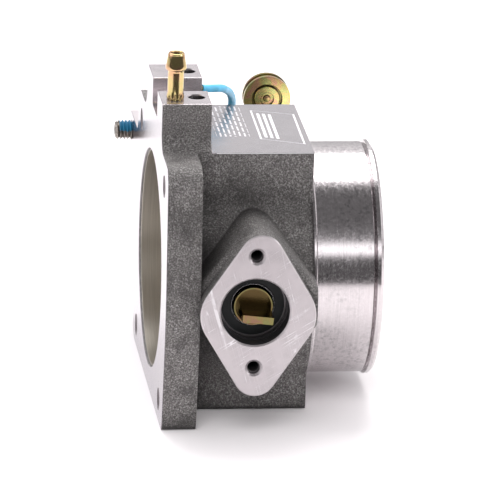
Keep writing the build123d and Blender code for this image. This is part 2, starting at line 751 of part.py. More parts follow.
with BuildPart() as vacuum_hose:
    with BuildLine() as hose_line:
        FilletPolyline(*hose_route, radius=hose_radii)
    with BuildSketch(Plane(origin=hose_start, z_dir=hose_out)):
        Circle(hose_r)
        Circle(hose_bore_r, mode=Mode.SUBTRACT)
    sweep(path=hose_line.wires()[0])
vacuum_hose.part.label = "vacuum_hose"
export_step(vacuum_hose.part, "parts/vacuum_hose.step")
hose_len = hose_line.wires()[0].length
print("hose length", round(hose_len, 1), "volume", round(vacuum_hose.part.volume, 1))
print("section times length", round(pi * (hose_r**2 - hose_bore_r**2) * hose_len, 1))

# ---- closed stop screw -------------------------------------------------------------------------------
with BuildPart() as stop_screw:
    with BuildSketch(Plane.YZ.offset(-stop_out)):
        with Locations((stop_y, stop_z)):
            Circle(stop_r)
    extrude(amount=stop_out + flange_t + stop_in)
    chamfer(stop_screw.edges().filter_by(GeomType.CIRCLE), stop_chamfer)
    with BuildSketch(Plane.YZ.offset(-stop_out)):
        with Locations((stop_y, stop_z)):
            RegularPolygon(stop_socket_af / 2, 6, major_radius=False)
    extrude(amount=stop_socket, mode=Mode.SUBTRACT)
stop_screw.part.label = "stop_screw"
export_step(stop_screw.part, "parts/stop_screw.step")

# ---- throttle lever ----------------------------------------------------------------------------------
# Places in the lever's plane are measured from the shaft axis, X along the bore and Z up.
stop_edge_dx = flange_t + stop_in + stop_gap - shaft_x
open_stop_turn = radians(50.0)
ear_reach = (shaft_x - flange_t - stop_gap - stop_tip_r) / sin(open_stop_turn)
ear_rest = pi + open_stop_turn - radians(open_travel)
ear_at = (ear_reach * sin(ear_rest), ear_reach * cos(ear_rest))
stop_pad_at = (stop_edge_dx + stop_tip_r, stop_z)


def lever_limb(start, start_r, tip, tip_r):
    """A limb of the lever: the hull of two rounds."""
    with BuildSketch(mode=Mode.PRIVATE) as limb:
        with Locations((shaft_x + start[0], start[1])):
            Circle(start_r)
        with Locations((shaft_x + tip[0], tip[1])):
            Circle(tip_r)
        make_hull()
    return limb.sketch_local


lever_limbs = [
    lever_limb((0, 0), lever_hub_r, lever_waist_at, lever_waist_r),
    lever_limb(lever_waist_at, lever_waist_r, (roller_dx, roller_dz), lever_arm_r),
    lever_limb((0, 0), lever_hub_r, stop_pad_at, stop_tip_r),
    lever_limb((0, 0), lever_hub_r, ear_at, stop_tip_r),
]

with BuildPart() as throttle_lever:
    with BuildSketch(facing_near(lever_y)):
        for limb in lever_limbs:
            add(limb)
    extrude(amount=-lever_t)
    chamfer(throttle_lever.edges().filter_by(Axis.Y, reverse=True), lever_edge)
    # Double-D hole, spring leg hole and rivet hole.
    with BuildSketch(facing_near(lever_y)):
        with Locations((shaft_x, 0)):
            Circle(lever_tang_r)
            Rectangle(2 * lever_tang_flat, 4 * lever_tang_r, mode=Mode.INTERSECT)
    extrude(amount=-lever_t, mode=Mode.SUBTRACT)
    with BuildSketch(facing_near(lever_y)):
        with Locations((shaft_x + spring_r, -bend_across)):
            Circle(wire_r + leg_hole_gap)
        with Locations((shaft_x + roller_dx, roller_dz)):
            Circle(rivet_r)
    extrude(amount=-lever_t, mode=Mode.SUBTRACT)
throttle_lever.part.label = "throttle_lever"
export_step(throttle_lever.part, "parts/throttle_lever.step")

# ---- washer and nut on the shaft's end ---------------------------------------------------------------
with BuildPart() as lever_washer:
    with BuildSketch(facing_near(lever_back_y)):
        with Locations((shaft_x, 0)):
            Circle(washer_r)
            Circle(lever_tang_r + 0.2, mode=Mode.SUBTRACT)
    extrude(amount=-washer_t)
    chamfer(lever_washer.edges().filter_by(GeomType.CIRCLE).group_by(Axis.Y)[-1], 0.2)
lever_washer.part.label = "lever_washer"
export_step(lever_washer.part, "parts/lever_washer.step")

with BuildPart() as lever_nut:
    with BuildSketch(facing_near(nut_y)):
        with Locations((shaft_x, 0)):
            RegularPolygon(nut_af / 2, 6, major_radius=False)
    extrude(amount=-nut_t)
    # The corners are turned off at 30 degrees on both ends.
    with BuildSketch(shaft_section):
        Polygon(
            (nut_y, 0), (nut_y, nut_af / 2 - 0.1), (nut_y + 0.7, nut_af / 2 + 1.2),
            (nut_y + nut_t - 0.7, nut_af / 2 + 1.2), (nut_y + nut_t, nut_af / 2 - 0.1),
            (nut_y + nut_t, 0), align=None,
        )
    revolve(axis=shaft_axis, mode=Mode.INTERSECT)
    with BuildSketch(facing_near(nut_y)):
        with Locations((shaft_x, 0)):
            Circle(lever_tang_r)
    extrude(amount=-nut_t, mode=Mode.SUBTRACT)
lever_nut.part.label = "lever_nut"
export_step(lever_nut.part, "parts/lever_nut.step")

# ---- cable roller and its rivet ----------------------------------------------------------------------
roller_axis = Axis((shaft_x + roller_dx, 0, roller_dz), (0, 1, 0))
roller_section = Plane(origin=(shaft_x + roller_dx, 0, roller_dz), x_dir=(0, 1, 0), z_dir=(1, 0, 0))

with BuildPart() as cable_roller:
    with BuildSketch(roller_section):
        Polygon(
            (roller_front_y + roller_dish, rivet_r + rivet_gap), (roller_front_y + roller_dish, roller_dish_r),
            (roller_front_y, roller_dish_r), (roller_front_y, roller_r),
            (roller_front_y + roller_rim, roller_r), (roller_front_y + roller_rim + 0.5, roller_groove_r),
            (roller_back_y - roller_rim - 0.5, roller_groove_r), (roller_back_y - roller_rim, roller_r),
            (roller_back_y, roller_r), (roller_back_y, rivet_r + rivet_gap), align=None,
        )
    revolve(axis=roller_axis)
cable_roller.part.label = "cable_roller"
export_step(cable_roller.part, "parts/cable_roller.step")

with BuildPart() as roller_rivet:
    with BuildSketch(roller_section):
        Polygon(
            (rivet_head_y, rivet_hollow_r), (rivet_head_y, rivet_head_r - 0.3),
            (rivet_head_y + 0.3, rivet_head_r), (rivet_head_y + rivet_head_t, rivet_head_r),
            (rivet_head_y + rivet_head_t, rivet_r), (lever_back_y, rivet_r), (lever_back_y, rivet_tail_r),
            (lever_back_y + rivet_tail_t - 0.5, rivet_tail_r - 0.3),
            (lever_back_y + rivet_tail_t, rivet_tail_r - 1.2), (lever_back_y + rivet_tail_t, 0),
            (rivet_head_y + 0.4, 0), (rivet_head_y + 0.5, rivet_knob_r), (rivet_head_y + 1.0, rivet_knob_r + 0.3),
            (rivet_head_y + 1.0, rivet_hollow_r), align=None,
        )
    revolve(axis=roller_axis)
roller_rivet.part.label = "roller_rivet"
export_step(roller_rivet.part, "parts/roller_rivet.step")

# ---- return spring and its bush ----------------------------------------------------------------------
bush_end_y = lever_y - 1.5
with BuildPart() as spring_bush:
    with BuildSketch(shaft_section):
        Polygon(
            (far_boss_end_y - bush_spigot, shaft_r + bush_gap), (far_boss_end_y - bush_spigot, pocket_r - 0.02),
            (far_boss_end_y, pocket_r - 0.02), (far_boss_end_y, bush_flange_r),
            (far_boss_end_y + bush_flange_t, bush_flange_r), (far_boss_end_y + bush_flange_t, bush_r),
            (bush_end_y, bush_r), (bush_end_y, bush_r - bush_wall),
            (far_boss_end_y + bush_flange_t, bush_r - bush_wall),
            (far_boss_end_y + bush_flange_t, shaft_r + bush_gap), align=None,
        )
    revolve(axis=shaft_axis)
    # A slot in the flange lets the spring's fixed leg bend down through it.
    with BuildSketch(facing_near(far_boss_end_y)):
        with Locations((shaft_x + spring_r, bend_across / 2)):
            SlotCenterToCenter(bend_across, 2 * (wire_r + leg_hole_gap), rotation=90)
    extrude(amount=-bush_flange_t, mode=Mode.SUBTRACT)
spring_bush.part.label = "spring_bush"
export_step(spring_bush.part, "parts/spring_bush.step")

coil_plane = Plane(origin=(shaft_x, spring_start_y, 0), x_dir=(1, 0, 0), z_dir=(0, 1, 0))
# Places on the coil are local: Z runs along the shaft from the first turn's start.
leg_in = Vector(spring_r, -bend_across, -bend_along)
leg_out = Vector(spring_r, bend_across, spring_len + bend_along)
along = Vector(0, 0, 1)
leg_in_len = spring_start_y - bend_along - far_boss_end_y + spring_leg
leg_out_len = lever_back_y + spring_leg_past - spring_end_y - bend_along

with BuildPart() as spring_wire:
    # One wire: a leg into the lever boss, a bend, whole turns, a bend and a leg through the lever.
    with BuildLine() as wire_line:
        coil = Helix(spring_pitch, spring_len, spring_r)
        Line(leg_in - along * leg_in_len, leg_in)
        TangentArc(leg_in, coil @ 0, tangent=along)
        TangentArc(coil @ 1, leg_out, tangent=coil % 1)
        Line(leg_out, leg_out + along * leg_out_len)
    with BuildSketch(Plane(origin=leg_in - along * leg_in_len, z_dir=along)):
        Circle(wire_r)
    sweep(path=wire_line.wires()[0])

with BuildPart() as return_spring:
    add(coil_plane * spring_wire.part)
return_spring.part.label = "return_spring"
export_step(return_spring.part, "parts/return_spring.step")
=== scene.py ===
"""A throttle body: finishes, wound spring, threads, barb and garters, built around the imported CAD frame."""
import math

import bpy
from bpy.props import FloatProperty, FloatVectorProperty, IntProperty, PointerProperty
from bpy.types import Operator, Panel, PropertyGroup
from mathutils import Matrix, Vector


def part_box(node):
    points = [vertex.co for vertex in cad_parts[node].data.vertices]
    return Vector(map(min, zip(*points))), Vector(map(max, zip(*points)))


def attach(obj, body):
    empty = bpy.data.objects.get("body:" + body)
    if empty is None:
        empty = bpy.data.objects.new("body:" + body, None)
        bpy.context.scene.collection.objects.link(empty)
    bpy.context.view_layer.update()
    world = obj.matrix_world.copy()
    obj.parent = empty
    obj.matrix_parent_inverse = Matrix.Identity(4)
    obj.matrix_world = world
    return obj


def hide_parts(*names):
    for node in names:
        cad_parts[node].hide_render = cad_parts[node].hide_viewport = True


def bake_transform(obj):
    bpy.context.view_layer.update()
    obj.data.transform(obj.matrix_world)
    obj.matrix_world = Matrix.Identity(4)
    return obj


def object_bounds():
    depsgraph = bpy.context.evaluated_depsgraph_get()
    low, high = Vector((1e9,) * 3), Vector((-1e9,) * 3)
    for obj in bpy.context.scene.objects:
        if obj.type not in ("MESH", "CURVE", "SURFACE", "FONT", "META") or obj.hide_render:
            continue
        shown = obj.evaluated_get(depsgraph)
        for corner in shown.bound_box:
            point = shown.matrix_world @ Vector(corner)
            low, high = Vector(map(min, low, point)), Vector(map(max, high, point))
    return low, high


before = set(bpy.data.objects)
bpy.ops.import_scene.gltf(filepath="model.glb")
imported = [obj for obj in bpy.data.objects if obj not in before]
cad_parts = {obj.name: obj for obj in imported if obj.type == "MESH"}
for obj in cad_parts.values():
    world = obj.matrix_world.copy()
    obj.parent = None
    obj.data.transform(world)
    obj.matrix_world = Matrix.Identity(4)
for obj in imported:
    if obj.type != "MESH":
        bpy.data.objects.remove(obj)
CAD_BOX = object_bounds()

bl_info = {
    "name": "Throttle Body",
    "version": (1, 0, 0),
    "blender": (4, 5, 0),
    "location": "View3D > Sidebar > Throttle Body",
    "description": "Finishes and fine pieces of a cast throttle body, with its floor, lights and camera",
    "category": "Object",
}

MM = 0.001
SHAFT_X = sum(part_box("throttle_shaft")[i].x for i in (0, 1)) / 2 / MM

# Sizes of the housing in millimetres, which its finish and its tapped threads follow.
BORE_R = 42.5
BLOCK_END_X = 59.3
BOLT_Y, BOLT_Z = 44.0, 43.5
PAD_X, PAD_Z = 19.3, 54.0
BOSS_TOP_Z = 72.3
TAPPED_X, TAPPED_MID_Y, TAPPED_HALF = 14.3, -2.5, 17.5
TAPPED_R, TAPPED_THREAD = 3.3, 14.5
SENSOR_FACE_Y = -67.6
SENSOR_HOLE_Z, SENSOR_HOLE_R, SENSOR_THREAD = 22.6, 2.5, 13.5


def middle(node):
    """The middle of a CAD node's box, in millimetres."""
    low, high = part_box(node)
    return (low + high) / 2 / MM


# ---- node materials ----------------------------------------------------------------------------------
FINISHES = {}


class Finish:
    """A node material, written as short calls that each add one node and return its output."""

    def __init__(self, name):
        self.material = bpy.data.materials.new(name)
        FINISHES[name] = self.material
        self.material.use_nodes = True
        self.tree = self.material.node_tree
        self.tree.nodes.clear()
        coords = self.tree.nodes.new("ShaderNodeTexCoord")
        self.place = self.vector("SCALE", coords.outputs["Object"], scale=1 / MM)
        split = self.tree.nodes.new("ShaderNodeSeparateXYZ")
        self.tree.links.new(self.place, split.inputs[0])
        self.x, self.y, self.z = split.outputs

    def put(self, socket, value):
        """Links a socket to value if that is an output, or else sets it."""
        if isinstance(value, bpy.types.NodeSocket):
            self.tree.links.new(value, socket)
        elif socket.type == "RGBA" and len(value) == 3:
            socket.default_value = (*value, 1.0)
        else:
            socket.default_value = value

    def math(self, operation, a, b=None):
        node = self.tree.nodes.new("ShaderNodeMath")
        node.operation = operation
        self.put(node.inputs[0], a)
        if b is not None:
            self.put(node.inputs[1], b)
        return node.outputs[0]

    def vector(self, operation, a, b=None, scale=None):
        node = self.tree.nodes.new("ShaderNodeVectorMath")
        node.operation = operation
        self.put(node.inputs[0], a)
        if b is not None:
            self.put(node.inputs[1], b)
        if scale is not None:
            self.put(node.inputs["Scale"], scale)
        return node.outputs["Value" if operation in ("LENGTH", "DOT_PRODUCT") else "Vector"]

    def join(self, x, y, z):
        node = self.tree.nodes.new("ShaderNodeCombineXYZ")
        for socket, value in zip(node.inputs, (x, y, z)):
            self.put(socket, value)
        return node.outputs[0]

    def rise(self, value, low, high, to_low=0.0, to_high=1.0):
        """A smooth step from to_low to to_high as value goes from low to high."""
        node = self.tree.nodes.new("ShaderNodeMapRange")
        node.interpolation_type = "SMOOTHSTEP"
        for socket, v in zip(node.inputs, (value, low, high, to_low, to_high)):
            self.put(socket, v)
        return node.outputs[0]

    def fall(self, value, low, high):
        return self.rise(value, low, high, 1.0, 0.0)

    def both(self, *masks):
        result = masks[0]
        for mask in masks[1:]:
            result = self.math("MULTIPLY", result, mask)
        return result

    def either(self, *masks):
        result = masks[0]
        for mask in masks[1:]:
            result = self.math("MAXIMUM", result, mask)
        return result

    def around(self, a, b, centre_a=0.0, centre_b=0.0):
        """The distance of a point from an axis through (centre_a, centre_b)."""
        da = self.math("SUBTRACT", a, centre_a)
        db = self.math("SUBTRACT", b, centre_b)
        squares = self.math("ADD", self.math("MULTIPLY", da, da), self.math("MULTIPLY", db, db))
        return self.math("SQRT", squares)

    def noise(self, scale, detail=2.0, roughness=0.5, at=None, distortion=0.0):
        """Noise with scale cells per millimetre."""
        node = self.tree.nodes.new("ShaderNodeTexNoise")
        self.put(node.inputs["Vector"], self.place if at is None else at)
        settings = {"Scale": scale, "Detail": detail, "Roughness": roughness, "Distortion": distortion}
        for name, value in settings.items():
            self.put(node.inputs[name], value)
        return node.outputs["Fac"]

    def cells(self, scale):
        """The distance to the nearest of scattered points, scale of them per millimetre."""
        node = self.tree.nodes.new("ShaderNodeTexVoronoi")
        self.put(node.inputs["Vector"], self.place)
        self.put(node.inputs["Scale"], scale)
        return node.outputs["Distance"]

    def ramp(self, value, stops):
        node = self.tree.nodes.new("ShaderNodeValToRGB")
        elements = node.color_ramp.elements
        while len(elements) < len(stops):
            elements.new(0.5)
        for element, (position, colour) in zip(elements, stops):
            element.position = position
            element.color = (*colour, 1.0) if hasattr(colour, "__len__") else (colour, colour, colour, 1.0)
        self.put(node.inputs[0], value)
        return node.outputs[0]

    def mix(self, factor, a, b):
        node = self.tree.nodes.new("ShaderNodeMix")
        node.data_type = "RGBA"
        self.put(node.inputs[0], factor)
        self.put(node.inputs[6], a)
        self.put(node.inputs[7], b)
        return node.outputs[2]

    def level(self, factor, a, b):
        node = self.tree.nodes.new("ShaderNodeMix")
        node.data_type = "FLOAT"
        self.put(node.inputs[0], factor)
        self.put(node.inputs[2], a)
        self.put(node.inputs[3], b)
        return node.outputs[0]

    def bump(self, height, depth, strength=1.0):
        """A bump whose full height is depth millimetres."""
        node = self.tree.nodes.new("ShaderNodeBump")
        self.put(node.inputs["Strength"], strength)
        self.put(node.inputs["Distance"], depth * MM)
        self.put(node.inputs["Height"], height)
        return node.outputs[0]

    def stretched(self, x, y, z):
        """The place in the object, with each direction stretched by its own factor."""
        return self.join(
            self.math("MULTIPLY", self.x, x),
            self.math("MULTIPLY", self.y, y),
            self.math("MULTIPLY", self.z, z),
        )

    def thin_line(self, value):
        """A narrow mask where value passes one half."""
        return self.both(self.rise(value, 0.490, 0.500), self.fall(value, 0.500, 0.510))

    def occlusion(self, distance):
        node = self.tree.nodes.new("ShaderNodeAmbientOcclusion")
        node.samples = 8
        self.put(node.inputs["Distance"], distance * MM)
        return node.outputs["AO"]

    def shade(self, colour, roughness, metallic=0.0, normal=None, **fixed):
        shader = self.tree.nodes.new("ShaderNodeBsdfPrincipled")
        output = self.tree.nodes.new("ShaderNodeOutputMaterial")
        self.put(shader.inputs["Base Color"], colour)
        self.put(shader.inputs["Roughness"], roughness)
        self.put(shader.inputs["Metallic"], metallic)
        if normal is not None:
            self.put(shader.inputs["Normal"], normal)
        for name, value in fixed.items():
            shader.inputs[name.replace("_", " ")].default_value = value
        self.tree.links.new(shader.outputs[0], output.inputs["Surface"])
        return self.material


def cast_body_finish(props):
    """Sand-cast aluminium with machined faces, a turned bore and neck, and etched marks on the pad, with
    painted shade in its corners and crease, its tapped holes and its sensor recess.
    """
    f = Finish("cast_body")
    bore_r = f.around(f.y, f.z)
    shaft_r = f.around(f.x, f.z, SHAFT_X)
    bolt_r = f.around(f.math("ABSOLUTE", f.y), f.math("ABSOLUTE", f.z), BOLT_Y, BOLT_Z)
    in_bore = f.fall(bore_r, BORE_R + 0.1, BORE_R + 0.3)
    turned = f.either(in_bore, f.rise(f.x, BLOCK_END_X - 0.15, BLOCK_END_X))
    from_middle = f.math("ABSOLUTE", f.math("SUBTRACT", f.y, TAPPED_MID_Y))
    bracket_r = f.around(f.x, from_middle, TAPPED_X, TAPPED_HALF)
    screw_r = f.around(f.x, f.math("ABSOLUTE", f.z), SHAFT_X, SENSOR_HOLE_Z)
    engine_face = f.fall(f.x, 0.1, 0.25)
    above_pad = f.rise(f.z, PAD_Z - 0.5, PAD_Z - 0.4)
    past_boss = f.rise(f.x, PAD_X - 0.15, PAD_X)
    sensor_face = f.fall(f.y, SENSOR_FACE_Y + 0.45, SENSOR_FACE_Y + 0.6)
    bracket_holes = f.both(f.fall(bracket_r, TAPPED_R + 0.6, TAPPED_R + 0.7), f.rise(f.z, 56.0, 56.5))
    in_sensor_hole = f.fall(screw_r, SENSOR_HOLE_R + 1.1, SENSOR_HOLE_R + 1.2)
    sensor_holes = f.both(in_sensor_hole, f.fall(f.y, -52.5, -52.0))
    near_side = f.fall(f.y, -40.0, -39.0)
    flat = f.either(
        engine_face,
        f.both(above_pad, past_boss),
        f.rise(f.z, BOSS_TOP_Z - 0.3, BOSS_TOP_Z - 0.15),
        f.both(f.rise(f.y, -12.2, -12.05), f.fall(f.y, 5.55, 5.7), f.rise(f.z, 61.2, 61.4)),
        sensor_face,
        f.both(f.fall(shaft_r, 14.0, 14.2), near_side),
        f.rise(f.y, 60.8, 60.95),
        f.fall(bolt_r, 4.6, 4.7),
        bracket_holes,
        sensor_holes,
    )
    worked = f.either(turned, flat)
    # Cast skin: coarse grit with bright specks and dark pits.
    grit = f.noise(1.7, 4.0, 0.65)
    coarse = f.noise(0.55, 3.0, 0.6)
    pits = f.cells(1.1)
    tone = f.noise(0.05, 2.0, 0.5)
    speck = f.rise(grit, 0.56, 0.72)
    cast = f.ramp(grit, [(0.34, props.cast_dark), (0.50, props.cast_mid), (0.68, props.cast_light)])
    cast = f.mix(f.math("MULTIPLY", f.rise(tone, 0.35, 0.7), 0.35), cast, props.cast_dark)
    patch = f.noise(0.11, 3.0, 0.62)
    cast = f.mix(f.rise(patch, 0.52, 0.68, 0.0, 0.5), cast, tuple(c * 0.8 for c in props.cast_dark))
    # Painted shade: the cast skin darkens towards a deep grey where ambient occlusion finds corners and
    # hollows.
    occlusion_shade = f.occlusion(16.0)
    cast = f.mix(f.rise(occlusion_shade, 0.25, 0.95, 0.85, 0.0), cast, tuple(c * 0.40 for c in props.cast_dark))
    # Painted shade: a band on the near side between z 24 and 46 mm darkens the crease where the block meets
    # the barrel.
    crease_shade = f.both(f.rise(f.z, 24.0, 33.0), f.fall(f.z, 36.0, 46.0), f.fall(f.y, -30.0, -26.0))
    cast = f.mix(f.math("MULTIPLY", crease_shade, 0.35), cast, tuple(c * 0.45 for c in props.cast_dark))
    cast_height = f.math("ADD", f.math("MULTIPLY", grit, 0.9), f.math("MULTIPLY", coarse, 0.8))
    cast_height = f.math("ADD", cast_height, f.math("MULTIPLY", pits, 0.25))
    cast_rough = f.level(speck, 0.60, 0.38)
    # Milled faces: pale, with fine parallel tool marks and a soft cloudiness.
    marks = f.noise(1.0, 3.0, 0.6, at=f.stretched(0.25, 0.3, 9.0))
    cloud = f.noise(0.12, 3.0, 0.6)
    clouded = tuple(c * 0.86 for c in props.milled_colour)
    milled = f.mix(f.rise(cloud, 0.3, 0.75), props.milled_colour, clouded)
    milled = f.mix(f.math("MULTIPLY", f.rise(marks, 0.45, 0.75), 0.12), milled, (0.4, 0.4, 0.42))
    milled_rough = f.level(cloud, 0.34, 0.52)
    milled_rough = f.level(f.both(above_pad, f.rise(f.y, -34.6, -34.5)), milled_rough, 0.25)
    milled_rough = f.level(engine_face, milled_rough, 0.17)
    milled = f.mix(engine_face, milled, props.face_colour)
    pad = f.both(above_pad, f.fall(f.z, PAD_Z + 0.1, PAD_Z + 0.2), past_boss)
    milled = f.mix(pad, milled, f.mix(cloud, props.pad_colour, tuple(c * 0.8 for c in props.pad_colour)))
    # Turned bore and neck: rings round the air bore, with scratches and small dark stains.
    rings = f.noise(1.0, 5.0, 0.7, at=f.stretched(7.0, 0.03, 0.03))
    wide_rings = f.noise(1.0, 2.0, 0.5, at=f.stretched(0.6, 0.01, 0.01))
    stain = f.noise(0.55, 5.0, 0.7)
    stain_zone = f.noise(0.05, 2.0, 0.5)
    ringed = f.rise(rings, 0.35, 0.7)
    turned_colour = f.mix(ringed, props.turned_colour, tuple(c * 0.78 for c in props.turned_colour))
    blotch = f.both(f.rise(stain, 0.46, 0.66), f.rise(stain_zone, 0.34, 0.58))
    turned_colour = f.mix(f.math("MULTIPLY", blotch, 0.45), turned_colour, (0.17, 0.17, 0.175))
    frost = f.noise(0.9, 4.0, 0.7)
    turned_colour = f.mix(f.rise(frost, 0.45, 0.70, 0.0, 0.20), turned_colour, (0.92, 0.90, 0.92))
    turned_rough = f.math("ADD", f.level(wide_rings, 0.11, 0.20), f.rise(frost, 0.40, 0.72, 0.0, 0.09))
    bore_colour = f.mix(ringed, (0.50, 0.47, 0.42), (0.36, 0.335, 0.30))
    turned_colour = f.mix(in_bore, turned_colour, bore_colour)
    turned_rough = f.level(in_bore, turned_rough, 0.33)
    # Painted shade: the tapped bracket and sensor holes go nearly black inside, deeper where ambient
    # occlusion is stronger.
    holes = f.either(
        f.both(bracket_holes, f.fall(f.z, BOSS_TOP_Z - 0.7, BOSS_TOP_Z - 0.4)),
        f.both(sensor_holes, f.rise(f.y, SENSOR_FACE_Y + 0.7, SENSOR_FACE_Y + 1.1)),
    )
    milled = f.mix(f.both(holes, f.rise(occlusion_shade, 0.15, 0.75, 0.92, 0.35)), milled, (0.02, 0.02, 0.02))
    # Painted shade: the sensor recess round the shaft is darkened almost to black, in rings a little lighter
    # every 1.5 mm along y.
    below_face = f.rise(f.y, SENSOR_FACE_Y + 0.5, SENSOR_FACE_Y + 0.9)
    recess_shade = f.both(f.fall(shaft_r, 14.2, 14.3), near_side, below_face)
    recess_shade_rings = f.rise(f.math("SINE", f.math("MULTIPLY", f.y, 4.2)), 0.1, 0.8, 0.93, 0.70)
    milled = f.mix(f.both(recess_shade, recess_shade_rings), milled, (0.03, 0.03, 0.032))
    # The sensor face has a few long light scratches that cross each other.
    steep = f.math("ADD", f.math("MULTIPLY", f.x, 0.9), f.math("MULTIPLY", f.z, 0.25))
    slant = f.math("SUBTRACT", f.math("MULTIPLY", f.z, 0.8), f.math("MULTIPLY", f.x, 0.5))
    scratch_a = f.noise(1.0, 1.0, 0.4, at=f.join(steep, f.math("MULTIPLY", f.z, 0.012), 3.0))
    scratch_b = f.noise(1.0, 1.0, 0.4, at=f.join(slant, f.math("MULTIPLY", f.x, 0.02), 9.0))
    scratches = f.either(f.thin_line(scratch_a), f.thin_line(scratch_b))
    scratches = f.both(sensor_face, scratches, f.rise(cloud, 0.42, 0.58, 0.0, 0.6))
    milled = f.mix(scratches, milled, (0.95, 0.94, 0.96))
    colour = f.mix(flat, cast, milled)
    colour = f.mix(turned, colour, turned_colour)
    rough = f.level(turned, f.level(flat, cast_rough, milled_rough), turned_rough)
    metallic = f.level(worked, 0.50, f.level(turned, 0.86, f.level(in_bore, 1.0, 0.8)))
    # Etched lines on the pad are a frosted near white: the frame's, and short plain bars beside it.
    frame_lines = f.both(
        f.rise(f.z, PAD_Z - 0.4, PAD_Z - 0.3), f.fall(f.z, PAD_Z - 0.2, PAD_Z - 0.1), f.rise(f.x, 21.0, 21.5),
    )
    dashes = f.math("SINE", f.math("MULTIPLY", f.x, 3.3))
    ends = f.math("SINE", f.math("ADD", f.math("MULTIPLY", f.y, 0.9), f.math("MULTIPLY", f.x, 0.7)))
    stripes = f.both(
        pad,
        f.rise(f.x, 23.4, 23.7), f.fall(f.x, 36.4, 36.7),
        f.rise(f.y, -13.5, -13.0), f.fall(f.y, 26.0, 26.5),
        f.rise(dashes, 0.35, 0.60), f.rise(ends, -0.80, -0.65),
    )
    etched = f.either(frame_lines, f.math("MULTIPLY", stripes, 0.42))
    colour = f.mix(f.math("MULTIPLY", etched, 0.8), colour, (0.95, 0.95, 0.97))
    metallic = f.level(etched, metallic, 0.1)
    rough = f.level(etched, rough, 0.85)
    height = f.level(worked, cast_height, f.math("MULTIPLY", f.level(turned, marks, rings), 0.03))
    normal = f.bump(height, 0.42, 0.9)
    return f.shade(colour, rough, metallic, normal)


def steel_finish(name, colour, rough=(0.25, 0.45), grain=2.0, stretch=(1.0, 1.0, 1.0), dirt=0.15):
    """Plain or plated steel with a drawn grain, cloudy roughness and a little dirt in it."""
    f = Finish(name)
    along = f.vector("MULTIPLY", f.place, stretch)
    lines = f.noise(grain, 4.0, 0.6, at=along)
    cloud = f.noise(0.3, 3.0, 0.6)
    tint = f.mix(f.rise(lines, 0.35, 0.7), colour, tuple(c * 0.78 for c in colour))
    tint = f.mix(f.math("MULTIPLY", f.rise(cloud, 0.5, 0.75), dirt), tint, tuple(c * 0.35 for c in colour))
    return f.shade(tint, f.level(cloud, *rough), 1.0, f.bump(lines, 0.03, 0.5))


def zinc_finish(name, gold, rose, green, rough=(0.14, 0.28)):
    """Yellow zinc plating, which shifts between gold, rose and green, with painted shade in its hollows and
    in the sensor drive's cup.
    """
    f = Finish(name)
    drift = f.noise(0.16, 2.0, 0.5, distortion=0.8)
    colour = f.ramp(drift, [(0.34, gold), (0.44, green), (0.52, gold), (0.62, rose), (0.72, gold)])
    lines = f.noise(2.5, 4.0, 0.6)
    specks = f.cells(1.6)
    colour = f.mix(f.fall(specks, 0.05, 0.14), colour, tuple(c * 0.35 for c in gold))
    # Painted shade: zinc nearer than y -50 mm, the sensor drive down in its recess, is darkened well towards
    # brown.
    colour = f.mix(f.fall(f.y, -50.0, -45.0), colour, f.mix(0.62, colour, (0.05, 0.03, 0.02)))
    # Painted shade: the inside of the sensor drive's cup is made a dark brown.
    within_cup = f.fall(f.around(f.x, f.z, SHAFT_X), 7.1, 7.3)
    cup_shade = f.both(f.fall(f.y, -50.0, -45.0), within_cup, f.rise(f.y, -60.5, -60.0))
    colour = f.mix(cup_shade, colour, (0.075, 0.045, 0.022))
    # Painted shade: the plating darkens where ambient occlusion finds hollows.
    occlusion_shade = f.occlusion(9.0)
    colour = f.mix(f.rise(occlusion_shade, 0.25, 0.85, 0.86, 0.0), colour, tuple(c * 0.18 for c in gold))
    return f.shade(colour, f.level(lines, *rough), 1.0, f.bump(lines, 0.02, 0.4))


def moulded_finish(name, colour, rough=(0.45, 0.65), grain=3.0, **fixed):
    """Moulded rubber or plastic with a fine texture."""
    f = Finish(name)
    fine = f.noise(grain, 4.0, 0.6)
    cloud = f.noise(0.25, 3.0, 0.5)
    tint = f.mix(f.rise(cloud, 0.35, 0.7), colour, tuple(min(1.0, c * 1.25 + 0.003) for c in colour))
    return f.shade(tint, f.level(fine, *rough), 0.0, f.bump(fine, 0.04, 0.4), **fixed)


# ---- mesh code ---------------------------------------------------------------------------------------
def new_piece(name, points, faces, finish, body, smooth=True):
    """A mesh in millimetres of the CAD frame, riding on a body."""
    mesh = bpy.data.meshes.new(name)
    mesh.from_pydata([tuple(c * MM for c in p) for p in points], [], faces)
    mesh.validate()
    mesh.polygons.foreach_set("use_smooth", [smooth] * len(mesh.polygons))
    piece = bpy.data.objects.new(name, mesh)
    bpy.context.scene.collection.objects.link(piece)
    mesh.materials.append(FINISHES[finish])
    if body:
        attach(piece, body)
    return piece


def grid_faces(rows, columns, wrap_rows=False):
    """Quads over a grid of points stored row by row, each row closed on itself."""
    faces = []
    for i in range(rows if wrap_rows else rows - 1):
        for j in range(columns):
            k, m = (i + 1) % rows, (j + 1) % columns
            faces.append((i * columns + j, i * columns + m, k * columns + m, k * columns + j))
    return faces


